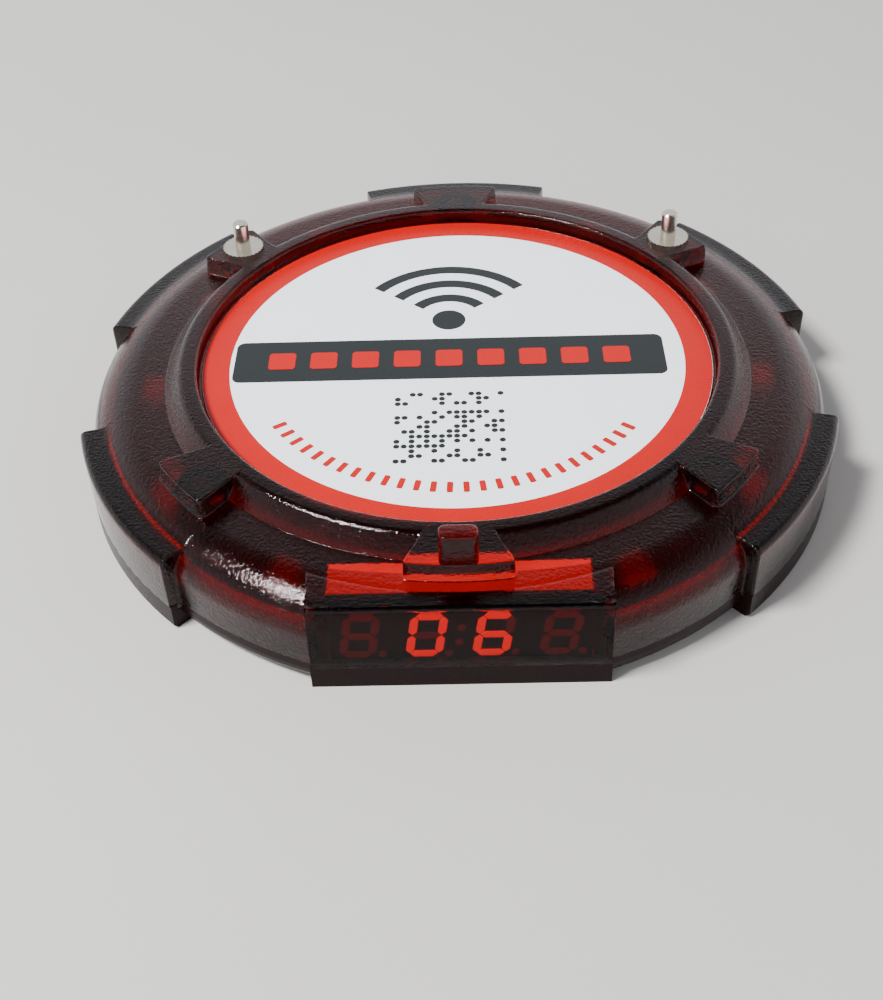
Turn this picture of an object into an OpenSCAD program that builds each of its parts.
// Coaster style guest pager: a round, flat receiver that lights, buzzes and shows its number.
// Millimetres, +Z up, origin on the body's axis at the surface it stands on, display facing -Y.

/* [Case] */
// Radius of the round body between the bumpers
body_r = 49; // [48:0.2:60]
// Height of the rim and pads above the surface the case stands on
rim_z = 15.2; // [14.8:0.1:20]
// How far the flat shoulder lies below the rim
shoulder_drop = 2.5; // [1.5:0.1:3]
// How far the label's face lies below the rim
label_drop = 1.95; // [0.8:0.05:2.4]
// Height of the joint line between the two case halves
seam_z = 3.7; // [3.2:0.1:4.5]
// Wall thickness of the upper case
wall = 2; // [1.6:0.1:2.4]
// Thickness of the floor of the lower case
floor_t = 1.6; // [1.2:0.1:1.8]

/* [Label] */
// Radius of the round printed label
label_r = 34; // [28:0.5:35]
// Thickness of the label
label_t = 0.3; // [0.2:0.05:0.5]

/* [Bumpers] */
// How far a bumper stands out from the body
bumper_out = 1.5; // [1:0.1:2.5]
// Angle that one bumper covers
bumper_angle = 33; // [24:1:38]
// How far a bumper's ledge lies below the shoulder
ledge_drop = 1.5; // [1:0.1:2]

/* [Pads] */
// Angle of the four slanting pads from the X axis
pad_angle = 38.6; // [36:0.2:42]
// Distance of the pins and case screws from the body's edge
post_inset = 9.3; // [8.5:0.1:10]
// Width of the locating peg on the front pad
peg_w = 4.5; // [3.5:0.1:5]
// Depth of the locating peg, front to back
peg_d = 2.3; // [1.8:0.1:2.6]
// Height of the locating peg above its pad
peg_h = 4.1; // [3:0.1:4.3]

/* [Display] */
// Half width of the flat display front
front_half_w = 17.4; // [16.6:0.1:19]
// How far the flat display front is cut back from the body's edge
front_inset = 2.8; // [2:0.1:3.4]
// Width of the four digit display module
display_w = 30.1; // [29:0.1:30.6]
// Depth of the display module
display_d = 5.2; // [4.6:0.1:5.4]
// Height of one digit
digit_h = 7; // [5.5:0.1:7.4]
// Distance from one digit to the next
digit_pitch = 7.7; // [6.5:0.1:7.8]

/* [Charging contacts] */
// Diameter of a charging pin
pin_d = 2.2; // [1.8:0.1:2.4]
// Height of a charging pin above its pad
pin_h = 4.5; // [4:0.1:5]
// Outer diameter of the toothed washer
washer_d = 6; // [5.4:0.1:6.4]
// Thickness of the toothed washer
washer_t = 0.6; // [0.5:0.05:0.8]
// Outer diameter of the contact barrel
barrel_d = 5.2; // [4.8:0.1:5.4]
// Travel of the sprung contact in its barrel
contact_travel = 1.6; // [1.2:0.1:1.8]

/* [Electronics] */
// Distance from the main circuit board's edge to the body's edge
board_inset = 4.8; // [4.6:0.1:7]
// Thickness of the main circuit board
board_t = 1.2; // [1:0.1:1.6]
// Height of the main board's lower face
board_z = 5.6; // [5.4:0.1:5.8]
// Diameter of the vibration motor
motor_d = 6; // [5:0.1:6.2]
// Length of the vibration motor's can
motor_len = 12; // [10:0.5:14]
// Diameter of the motor shaft
shaft_d = 0.8; // [0.6:0.05:1]
// Length, width and thickness of the battery cell
cell_size = [34, 27, 3.4]; // [2:0.1:40]

/* [Hidden] */
$fn = 72;
slop = 0.01;
fit_gap = 0.2;
run_gap = 0.05;

// case heights and radii, all from the driving sizes
shoulder_z = rim_z - shoulder_drop;
label_z = rim_z - label_drop;
recess_floor_z = label_z - label_t;
ledge_z = shoulder_z - ledge_drop;
bumper_r = body_r + bumper_out;
front_y = body_r - front_inset;
post_circle_r = body_r - post_inset;
board_r = body_r - board_inset;
cavity_r = body_r - wall;
recess_r = label_r + 0.5;
rim_in_r = recess_r + 0.5;
rim_out_r = rim_in_r + 1.2;
shoulder_r = body_r - 6;
roof_z = recess_floor_z - 1.9;
shoulder_roof_z = shoulder_z - 1.8;
front_roof_z = shoulder_z - 1.4;
window_in_y = front_y - wall;
bumper_centres = [30, 90, 150, 210, 330];
screw_angles = [90, 180 + pad_angle, 360 - pad_angle];
pin_angles = [180 - pad_angle, pad_angle];

// pads
pad_in_r = rim_out_r - 0.9;
pad_out_r = post_circle_r + 3.5;
pad_in_w = 6.2;
pad_out_w = 9.9;
end_pad_out_r = post_circle_r + 2.2;
end_pad_in_w = 7.6;
end_pad_out_w = 13.3;
peg_front_y = end_pad_out_r - 0.1;
peg_round = 0.8;

// posts that hold the case together
screw_boss_d = 6.4;
screw_hole_d = 2.2;
screw_shaft_d = 2.5;
screw_head_d = 5;
screw_head_t = 1.7;
cover_boss_d = 7.6;
cover_boss_z = 2.9;
cover_boss_floor_z = 2.2;
screw_tip_z = 10.4;

// locating lip of the lower case
lip_out_r = cavity_r - fit_gap;
lip_t = 1.4;
lip_z = seam_z + 1.3;
cover_edge_round = 2.6;

// charging contacts
pad_roof_z = rim_z - 2.4;
terminal_t = 0.5;
strap_w = 3;
strap_reach = barrel_d / 2 + 1.1;
barrel_top_z = pad_roof_z - terminal_t;
barrel_low_z = 4.2;
barrel_lip = 0.6;
plunger_d = 3;
plunger_tip_d = 1.9;
plunger_flange_t = 1.5;
plunger_tip_z = 3.2;
plunger_flange_z = barrel_low_z + barrel_lip + run_gap;
spring_low_z = plunger_flange_z + plunger_flange_t;
spring_len = contact_travel + 1.9;
spring_high_z = spring_low_z + spring_len;
spring_wire = 0.35;
spring_coils = 5;
pin_low_z = spring_high_z + 0.6;
shank_d = pin_d - 0.4;
shank_hole_d = shank_d + 2 * run_gap;
socket_d = pin_d + 0.6;
socket_top_z = 3;
socket_boss_d = 5.6;
washer_seat_d = washer_d + 0.6;
washer_seat_z = washer_t + fit_gap;
washer_teeth = 28;

// display, seen from the front
display_z = 1.8;
display_top_z = front_roof_z - fit_gap;
display_h = display_top_z - display_z;
display_face_t = 0.5;
display_front_y = window_in_y - 1;
display_back_y = display_front_y - display_d;
display_board_t = 1;
digit_w = 4.3;
segment_w = 0.95;
segment_gap = 0.12;
segment_t = 0.15;
digit_slant = 8;
digit_low_z = 2.95;
peg_slot_w = peg_w + 2 * fit_gap;
peg_slot_d = peg_d + 2 * fit_gap;
peg_slot_h = peg_h + fit_gap;
peg_slot_wall = 0.6;
lit_segments = [[], [0, 1, 2, 3, 4, 5], [0, 2, 3, 4, 5, 6], []];

// main board and what stands on it
board_top_z = board_z + board_t;
board_posts = [[34, -8], [-34, -8], [14, 31], [-14, 31]];
board_post_d = 4.4;
board_screw_d = 1.8;
led_circle_r = board_r - 3;
led_angles = [0, 30, 60, 120, 150, 180, 210, 240, 300, 330];
motor_at = [-25, 2];
motor_z = board_z + 0.4;
weight_r = 2.7;
weight_len = 4;
weight_at_y = motor_at[1] - motor_len / 2 - 1.2 - weight_len;
cell_at = [4, 0];
cell_z = floor_t + 0.3;

// points of an arc from angle a0 to a1 around a centre
function arc(centre, r, a0, a1, steps = 6) =
    [for (i = [0:steps]) let (a = a0 + (a1 - a0) * i / steps) centre + r * [cos(a), sin(a)]];

module around(angles, r) {
    for (a = angles) rotate(a) translate([r, 0, 0]) children();
}

// a block given by its centre in X and Y and its lower face
module slab(size, low_z, at = [0, 0]) {
    translate([at[0] - size[0] / 2, at[1] - size[1] / 2, low_z]) cube(size);
}

module tube(outer_d, inner_d, z0, z1) {
    translate([0, 0, z0]) difference() {
        cylinder(d = outer_d, h = z1 - z0);
        translate([0, 0, -slop]) cylinder(d = inner_d, h = z1 - z0 + 2 * slop);
    }
}

// everything behind the flat display front
module behind_front(y) {
    translate([-2 * body_r, -y, -1]) cube([4 * body_r, y + 2 * body_r, rim_z + peg_h + 2]);
}

module sector(angle, points) {
    rotate(-angle / 2) rotate_extrude(angle = angle, $fn = 240) polygon(points);
}

module bumpers(inner_r, outer_r, z0, z1, top_round, low_round) {
    for (a = bumper_centres) rotate(a) sector(bumper_angle, [
        [inner_r, z0], [outer_r - low_round, z0], [outer_r, z0 + low_round],
        [outer_r, z1 - top_round], [outer_r - 0.3 * top_round, z1 - 0.3 * top_round],
        [outer_r - top_round, z1], [inner_r, z1]
    ]);
}

// a pad that widens outwards and ends in an arc, standing on the shoulder
module pad(in_w, out_w, out_r) {
    intersection() {
        translate([0, 0, shoulder_z - 1]) linear_extrude(rim_z - shoulder_z + 1)
            polygon([[pad_in_r, -in_w / 2], [out_r + 1, -out_w / 2 - 0.3],
                     [out_r + 1, out_w / 2 + 0.3], [pad_in_r, in_w / 2]]);
        cylinder(r = out_r, h = rim_z + 1, $fn = 240);
    }
}

module peg() {
    translate([0, -peg_front_y + peg_d / 2, rim_z - slop]) linear_extrude(peg_h + slop) union() {
        square([peg_w - 2 * peg_round, peg_d], center = true);
        square([peg_w, peg_d - 2 * peg_round], center = true);
        for (sx = [-1, 1], sy = [-1, 1])
            translate([sx * (peg_w / 2 - peg_round), sy * (peg_d / 2 - peg_round)])
                circle(r = peg_round, $fn = 24);
    }
}

module shell_outside() {
    rotate_extrude($fn = 240) polygon(concat(
        [[0, seam_z], [0, recess_floor_z], [recess_r, recess_floor_z]],
        arc([rim_in_r, rim_z - 0.5], 0.5, 180, 90),
        arc([rim_out_r, rim_z - 1.2], 1.2, 90, 42, 4),
        arc([rim_out_r + 2.92, shoulder_z + 0.3], 0.3, 222, 270, 3),
        [[shoulder_r, shoulder_z]],
        arc([shoulder_r - 0.37, shoulder_z - 7], 7, 87, 40),
        arc([body_r - 4, shoulder_z - 5.07], 4, 40, 0),
        [[body_r, seam_z]]
    ));
    bumpers(cavity_r - 1, bumper_r, seam_z, ledge_z, 0.8, 0);
    for (a = concat(screw_angles, pin_angles)) if (a != 90) rotate(a) pad(pad_in_w, pad_out_w, pad_out_r);
    for (a = [90, 270]) rotate(a) pad(end_pad_in_w, end_pad_out_w, end_pad_out_r);
    slab([2 * front_half_w, 12, shoulder_z - seam_z], seam_z, [0, -front_y + 6]);
    peg();
}

module shell_cavity() {
    intersection() {
        rotate_extrude($fn = 240) polygon([
            [0, seam_z - 1], [cavity_r, seam_z - 1], [cavity_r, shoulder_roof_z - 2.4],
            [cavity_r - 2.2, shoulder_roof_z], [rim_out_r, shoulder_roof_z],
            [recess_r - 2, roof_z], [0, roof_z]
        ]);
        behind_front(window_in_y);
    }
    display_room(seam_z);
}

// the display's space in the case, from a lower face up
module display_room(low_z) {
    slab([display_w + 2 * fit_gap, display_d + 2.2, front_roof_z - low_z], low_z,
         [0, -window_in_y + display_d / 2 + 1.1]);
}

module top_shell() {
    color([0.32, 0.02, 0.03, 0.7]) difference() {
        union() {
            difference() {
                intersection() {
                    shell_outside();
                    behind_front(front_y);
                }
                shell_cavity();
            }
            around(screw_angles, post_circle_r)
                tube(screw_boss_d, screw_hole_d, cover_boss_z, shoulder_roof_z + 0.5);
        }
        around(screw_angles, post_circle_r) translate([0, 0, 1])
            cylinder(d = screw_hole_d, h = screw_tip_z);
        around(pin_angles, post_circle_r) {
            cylinder(d = shank_hole_d, h = rim_z + 1);
            cylinder(d = barrel_d + 1.2, h = pad_roof_z);
            slab([strap_reach + 0.4, strap_w + 0.4, pad_roof_z], 0, [-strap_reach / 2 - 0.2, 0]);
        }
    }
}

module label_disc() {
    color("white") translate([0, 0, recess_floor_z]) cylinder(r = label_r, h = label_t, $fn = 180);
}

// the lower case: a flat dish with a lip, sockets for the pins and peg of the pager below it
module bottom_cover() {
    color([0.1, 0.07, 0.075]) difference() {
        union() {
            intersection() {
                union() {
                    rotate_extrude($fn = 240) polygon(concat(
                        [[0, 0]],
                        arc([body_r - cover_edge_round, cover_edge_round], cover_edge_round, -90, 0),
                        [[body_r, seam_z], [0, seam_z]]
                    ));
                    bumpers(cavity_r - 1, bumper_r, 0, seam_z, 0, 0.6);
                    slab([2 * front_half_w, 12, seam_z], 0, [0, -front_y + 6]);
                }
                behind_front(front_y);
            }
            difference() {
                translate([0, 0, seam_z - slop]) difference() {
                    cylinder(r = lip_out_r, h = lip_z - seam_z + slop, $fn = 240);
                    translate([0, 0, -slop]) cylinder(r = lip_out_r - lip_t, h = lip_z, $fn = 240);
                }
                translate([-front_half_w, -body_r - 1, 0]) cube([2 * front_half_w, body_r, rim_z]);
            }
        }
        intersection() {
            translate([0, 0, floor_t]) cylinder(r = lip_out_r - lip_t, h = rim_z, $fn = 240);
            behind_front(window_in_y);
        }
        display_room(floor_t);
        around(screw_angles, post_circle_r) {
            translate([0, 0, -1]) cylinder(d = screw_head_d + 2 * fit_gap, h = cover_boss_floor_z + 1);
            translate([0, 0, -1]) cylinder(d = screw_shaft_d + 2 * fit_gap, h = rim_z);
        }
        around(pin_angles, post_circle_r) {
            translate([0, 0, -1]) cylinder(d = washer_seat_d, h = washer_seat_z + 1);
            translate([0, 0, -1]) cylinder(d = socket_d, h = rim_z);
        }
        peg_slot();
    }
    color([0.1, 0.07, 0.075]) {
        around(screw_angles, post_circle_r) {
            tube(cover_boss_d, screw_head_d + 2 * fit_gap, floor_t - slop, cover_boss_floor_z);
            tube(cover_boss_d, screw_shaft_d + 2 * fit_gap, cover_boss_floor_z - slop, cover_boss_z);
        }
        around(pin_angles, post_circle_r) tube(socket_boss_d, socket_d, floor_t - slop, socket_top_z);
        around(pin_angles, post_circle_r) tube(washer_seat_d + 1.6, socket_d, washer_seat_z, floor_t + 0.4);
        for (at = board_posts) translate(at) tube(board_post_d, board_screw_d - 0.2, floor_t - slop, board_z);
        difference() {
            slab([peg_slot_w + 2 * peg_slot_wall, peg_slot_d + 2 * peg_slot_wall,
                  peg_slot_h + peg_slot_wall - floor_t], floor_t - slop, [0, -peg_front_y + peg_d / 2]);
            peg_slot();
        }
    }
}

module peg_slot() {
    slab([peg_slot_w, peg_slot_d, peg_slot_h + 1], -1, [0, -peg_front_y + peg_d / 2]);
}

module case_screws() {
    color("silver") around(screw_angles, post_circle_r) difference() {
        union() {
            translate([0, 0, cover_boss_floor_z - screw_head_t])
                cylinder(d = screw_head_d, h = screw_head_t - 2 * slop);
            translate([0, 0, cover_boss_floor_z - 0.1])
                cylinder(d = screw_hole_d, h = screw_tip_z - cover_boss_floor_z);
        }
        for (turn = [0, 90]) rotate(turn)
            slab([2.6, 0.6, 1], cover_boss_floor_z - screw_head_t - slop);
    }
}

module charge_pin() {
    color("silver") {
        translate([0, 0, pin_low_z]) cylinder(d = shank_d, h = rim_z + washer_t + slop - pin_low_z);
        translate([0, 0, rim_z + washer_t]) cylinder(d = pin_d, h = pin_h - washer_t - 0.2);
        translate([0, 0, rim_z + pin_h - 0.2]) cylinder(d1 = pin_d, d2 = pin_d - 0.4, h = 0.2);
    }
}

module charge_pin_left() { around([pin_angles[0]], post_circle_r) charge_pin(); }

module charge_pin_right() { around([pin_angles[1]], post_circle_r) charge_pin(); }

module pin_washers() {
    tooth = 360 / washer_teeth;
    color("silver") around(pin_angles, post_circle_r) translate([0, 0, rim_z])
        linear_extrude(washer_t) difference() {
            polygon([for (i = [0:washer_teeth - 1], side = [0, 1])
                (washer_d / 2 - 0.22 * side) * [cos(tooth * (i + side / 2)), sin(tooth * (i + side / 2))]]);
            circle(d = shank_hole_d);
        }
}

// ring terminals clamped under the pads, each with a strap down to the board
module terminal_straps() {
    color("goldenrod") around(pin_angles, post_circle_r) {
        tube(barrel_d + 0.4, shank_hole_d, barrel_top_z, pad_roof_z);
        difference() {
            slab([strap_reach, strap_w, terminal_t], barrel_top_z, [-strap_reach / 2, 0]);
            translate([0, 0, barrel_top_z - 1]) cylinder(d = shank_hole_d, h = 3);
        }
        slab([terminal_t, strap_w, pad_roof_z - board_top_z], board_top_z, [-strap_reach + terminal_t / 2, 0]);
    }
}

module contact_barrels() {
    color("gold") around(pin_angles, post_circle_r) difference() {
        translate([0, 0, barrel_low_z]) cylinder(d = barrel_d, h = barrel_top_z - barrel_low_z);
        translate([0, 0, barrel_low_z - 1]) cylinder(d = plunger_tip_d + 2 * run_gap, h = 4);
        translate([0, 0, barrel_low_z + barrel_lip])
            cylinder(d = plunger_d + 2 * run_gap, h = spring_high_z - barrel_low_z - barrel_lip);
        translate([0, 0, pin_low_z - 0.1]) cylinder(d = shank_hole_d, h = rim_z);
    }
}

// the spring's turns as rings, joined by one straight run of wire
module contact_spring() {
    mean_r = plunger_d / 2 - spring_wire / 2 - 0.1;
    pitch = (spring_len - spring_wire) / (spring_coils - 1);
    color("silver") {
        for (i = [0:spring_coils - 1])
            translate([0, 0, spring_low_z + spring_wire / 2 + i * pitch])
                rotate_extrude() translate([mean_r, 0]) circle(d = spring_wire, $fn = 16);
        translate([mean_r, 0, spring_low_z + spring_wire / 2])
            cylinder(d = spring_wire * 0.8, h = spring_len - spring_wire, $fn = 16);
    }
}

module contact_spring_left() { around([pin_angles[0]], post_circle_r) contact_spring(); }

module contact_spring_right() { around([pin_angles[1]], post_circle_r) contact_spring(); }

module contact_plunger() {
    color("gold") {
        translate([0, 0, plunger_tip_z + 0.4]) cylinder(d = plunger_tip_d, h = plunger_flange_z - plunger_tip_z);
        translate([0, 0, plunger_tip_z]) cylinder(d1 = plunger_tip_d - 0.7, d2 = plunger_tip_d, h = 0.4);
        translate([0, 0, plunger_flange_z]) cylinder(d = plunger_d, h = plunger_flange_t - run_gap);
    }
}

module contact_plunger_left() { around([pin_angles[0]], post_circle_r) contact_plunger(); }

module contact_plunger_right() { around([pin_angles[1]], post_circle_r) contact_plunger(); }

// the body is notched underneath, over the socket that takes the peg of the pager below
module display_body() {
    depth = display_d - display_face_t;
    color([0.75, 0.1, 0.1]) difference() {
        slab([display_w, depth, display_h], display_z, [0, -display_back_y - depth / 2]);
        slab([peg_slot_w + 2 * peg_slot_wall + 2 * fit_gap, 2 * depth + 4,
              peg_slot_h + peg_slot_wall + fit_gap], 0, [0, -display_back_y]);
    }
}

module display_face() {
    color([0.03, 0.03, 0.03])
        slab([display_w, display_face_t, display_h], display_z, [0, -display_front_y + display_face_t / 2]);
}

// a segment's outline, pointed at both ends, lying along X about its middle
module segment_shape(length) {
    half = length / 2 - segment_gap;
    h = segment_w / 2;
    polygon([[-half, 0], [-half + h, h], [half - h, h], [half, 0], [half - h, -h], [-half + h, -h]]);
}

// segments a to g: top, upper right, lower right, bottom, lower left, upper left, middle
module segment(i) {
    across = digit_w - segment_w;
    up = (digit_h - segment_w) / 2;
    places = [[0, up, 0], [across / 2, up / 2, 90], [across / 2, -up / 2, 90], [0, -up, 0],
              [-across / 2, -up / 2, 90], [-across / 2, up / 2, 90], [0, 0, 0]];
    place = places[i];
    translate([place[0], place[1]]) rotate(place[2]) segment_shape(place[2] == 0 ? across : up);
}

function digit_x(n) = (n - 1.5) * digit_pitch;

// digits are drawn upright, slanted, and stood up on the display's face
module on_face() {
    translate([0, -display_front_y, digit_low_z + digit_h / 2]) rotate([90, 0, 0])
        linear_extrude(segment_t) children();
}

module slanted(x) {
    multmatrix([[1, tan(digit_slant), 0, x], [0, 1, 0, 0], [0, 0, 1, 0], [0, 0, 0, 1]]) children();
}

module digits_lit() {
    color([1, 0.1, 0.02]) on_face()
        for (n = [0:3], i = lit_segments[n]) slanted(digit_x(n)) segment(i);
}

module digits_dark() {
    point_x = digit_w / 2 + 0.75;
    color([0.35, 0.02, 0.02]) on_face() {
        for (n = [0:3], i = [0:6]) if (len(search(i, lit_segments[n])) == 0) slanted(digit_x(n)) segment(i);
        for (n = [0:3]) slanted(digit_x(n)) translate([point_x, -(digit_h - segment_w) / 2]) circle(d = 0.9, $fn = 24);
        for (side = [-1, 1]) slanted(0) translate([0, side * digit_h / 6]) circle(d = 0.9, $fn = 24);
    }
}

module display_board() {
    color([0.05, 0.25, 0.12]) difference() {
        slab([display_w, display_board_t, display_h - 0.6], display_z + 0.3,
             [0, -display_back_y + display_board_t / 2]);
        slab([peg_slot_w + 2 * peg_slot_wall + 2 * fit_gap, 4 * display_board_t,
              peg_slot_h + peg_slot_wall + fit_gap], 0, [0, -display_back_y]);
    }
}

module display_pins() {
    pitch = 2.54;
    length = 5.4;
    start_y = -display_back_y + display_board_t;
    color("gold") for (i = [-2.5:2.5])
        translate([i * pitch - 0.3, start_y - slop, board_top_z + 0.5]) union() {
            cube([0.6, length, 0.6]);
            translate([0, length - 0.6, -board_t - 1]) cube([0.6, 0.6, board_t + 1.5]);
        }
}

module main_board() {
    front_cut_y = -display_back_y + display_board_t + fit_gap;
    color([0.06, 0.3, 0.14]) difference() {
        translate([0, 0, board_z]) cylinder(r = board_r, h = board_t, $fn = 180);
        translate([-front_half_w, -body_r, 0]) cube([2 * front_half_w, body_r + front_cut_y, rim_z]);
        around(screw_angles, post_circle_r) cylinder(d = screw_boss_d + 2 * fit_gap, h = rim_z);
        around(pin_angles, post_circle_r) cylinder(d = barrel_d + 2 * fit_gap, h = rim_z);
        for (at = board_posts) translate(at) cylinder(d = board_screw_d + fit_gap, h = rim_z);
        slab([motor_d + 1.6, motor_len + weight_len + 5, rim_z], 0, [motor_at[0], motor_at[1] - weight_len / 2 - 0.8]);
        for (i = [-2.5:2.5]) translate([i * 2.54, -display_back_y + display_board_t + 5.1, 0])
            cylinder(d = 1.1, h = rim_z, $fn = 24);
    }
}

module board_screws() {
    head_t = 1.2;
    color("silver") for (at = board_posts) translate(at) difference() {
        union() {
            translate([0, 0, board_top_z]) cylinder(d = 3.6, h = head_t);
            translate([0, 0, floor_t + 0.6])
                cylinder(d = board_screw_d - 0.2, h = board_top_z - floor_t);
        }
        for (turn = [0, 90]) rotate(turn) slab([1.8, 0.45, head_t], board_top_z + head_t - 0.6);
    }
}

module alert_leds() {
    color([0.9, 0.2, 0.15]) around(led_angles, led_circle_r) {
        slab([2.8, 3.5, 1.5], board_top_z);
        translate([0, 0, board_top_z + 1.5 - slop]) cylinder(d = 2.2, h = 0.4);
    }
}

module battery_cell() {
    color("silver") slab(cell_size, cell_z, cell_at);
}

module battery_tape() {
    color("white") slab([cell_size[0] - 6, cell_size[1] - 6, cell_z - floor_t], floor_t, cell_at);
}

module battery_tabs() {
    end_x = cell_at[0] + cell_size[0] / 2;
    color("silver") for (side = [-1, 1]) {
        slab([3, 2.4, 0.3], cell_z + cell_size[2] / 2, [end_x + 1.5, side * 6]);
        slab([0.3, 2.4, board_z - cell_z - cell_size[2] / 2], cell_z + cell_size[2] / 2, [end_x + 2.85, side * 6]);
    }
}

module motor_place() {
    translate([motor_at[0], motor_at[1], motor_z]) rotate([90, 0, 0]) children();
}

module motor_can() {
    color("silver") motor_place() difference() {
        union() {
            translate([0, 0, -motor_len / 2]) cylinder(d = motor_d, h = motor_len);
            translate([0, 0, motor_len / 2 - slop]) cylinder(d = 2.4, h = 0.7);
        }
        translate([0, 0, -motor_len / 2 + 1]) cylinder(d = shaft_d + 2 * run_gap, h = motor_len + 2);
    }
}

module motor_shaft() {
    color("silver") motor_place() translate([0, 0, -motor_len / 2 + 2])
        cylinder(d = shaft_d, h = motor_len - 2 + 1.2 + weight_len + 0.4);
}

// an off-centre half disc, pressed on the shaft
module motor_weight() {
    color("dimgray") translate([motor_at[0], weight_at_y, motor_z]) rotate([-90, 0, 0]) difference() {
        union() {
            difference() {
                cylinder(r = weight_r, h = weight_len);
                translate([-weight_r - 1, -weight_r - 1, -1]) cube([2 * weight_r + 2, weight_r + 1, weight_len + 2]);
            }
            cylinder(d = shaft_d + 1, h = weight_len);
        }
        translate([0, 0, -1]) cylinder(d = shaft_d, h = weight_len + 2);
    }
}

module motor_cradle() {
    saddle_w = motor_d + 1.2;
    color([0.12, 0.12, 0.12]) difference() {
        slab([saddle_w, motor_len - 2, motor_z - 0.6 - floor_t], floor_t, motor_at);
        motor_place() translate([0, 0, -motor_len]) cylinder(d = motor_d + 2 * slop, h = 2 * motor_len);
    }
}

module buzzer() {
    color([0.1, 0.1, 0.1]) translate([24, -18, board_top_z]) difference() {
        union() {
            slab([9, 9, 0.8], 0);
            cylinder(d = 8.6, h = 3.2);
        }
        translate([0, 0, 1.6]) cylinder(d = 1.6, h = 3);
    }
}

module controller_chip() {
    body = [7, 7, 1];
    pins = 8;
    color([0.08, 0.08, 0.09]) translate([0, -12, 0]) {
        slab(body, board_top_z + 0.15);
        for (turn = [0:90:270], i = [0:pins - 1]) rotate(turn)
            slab([0.9, 0.3, 0.2], board_top_z, [body[0] / 2 + 0.3, (i - (pins - 1) / 2) * 0.8]);
        for (turn = [0:90:270], i = [0:pins - 1]) rotate(turn)
            slab([0.3, 0.3, 0.5], board_top_z, [body[0] / 2 + 0.1, (i - (pins - 1) / 2) * 0.8]);
    }
}

module radio_board() {
    color([0.05, 0.2, 0.35]) slab([17, 13, 0.8], board_top_z, [8, 12]);
}

module radio_shield() {
    color("silver") slab([11, 10, 1.9], board_top_z + 0.8, [6, 12]);
}

module crystal_can() {
    color("silver") translate([-11, 8, board_top_z]) {
        slab([6.4, 4.4, 2.8], 0);
        for (side = [-1, 1]) translate([side * 3.2, 0, 0]) cylinder(d = 4.4, h = 2.8);
    }
}

// turns of the antenna as rings, joined along their lowest points
module antenna_coil() {
    turns = 9;
    pitch = 1.4;
    mean_r = 1.7;
    wire = 0.6;
    length = pitch * (turns - 1);
    color("peru") translate([-length / 2, 22, board_top_z + mean_r + wire / 2]) rotate([0, 90, 0]) {
        for (i = [0:turns - 1]) translate([0, 0, i * pitch])
            rotate_extrude() translate([mean_r, 0]) circle(d = wire, $fn = 16);
        translate([mean_r, 0, 0]) cylinder(d = wire * 0.8, h = length, $fn = 16);
    }
}

module reservoir_capacitor() {
    color([0.7, 0.7, 0.72]) translate([-10, -6, board_top_z]) {
        slab([5, 5, 0.6], 0);
        cylinder(d = 4.6, h = 3.6);
    }
}

top_shell();
label_disc();
bottom_cover();
case_screws();
charge_pin_left();
charge_pin_right();
pin_washers();
terminal_straps();
contact_barrels();
contact_spring_left();
contact_spring_right();
contact_plunger_left();
contact_plunger_right();
display_body();
display_face();
digits_lit();
digits_dark();
display_board();
display_pins();
main_board();
board_screws();
alert_leds();
battery_cell();
battery_tape();
battery_tabs();
motor_can();
motor_shaft();
motor_weight();
motor_cradle();
buzzer();
controller_chip();
radio_board();
radio_shield();
crystal_can();
antenna_coil();
reservoir_capacitor();
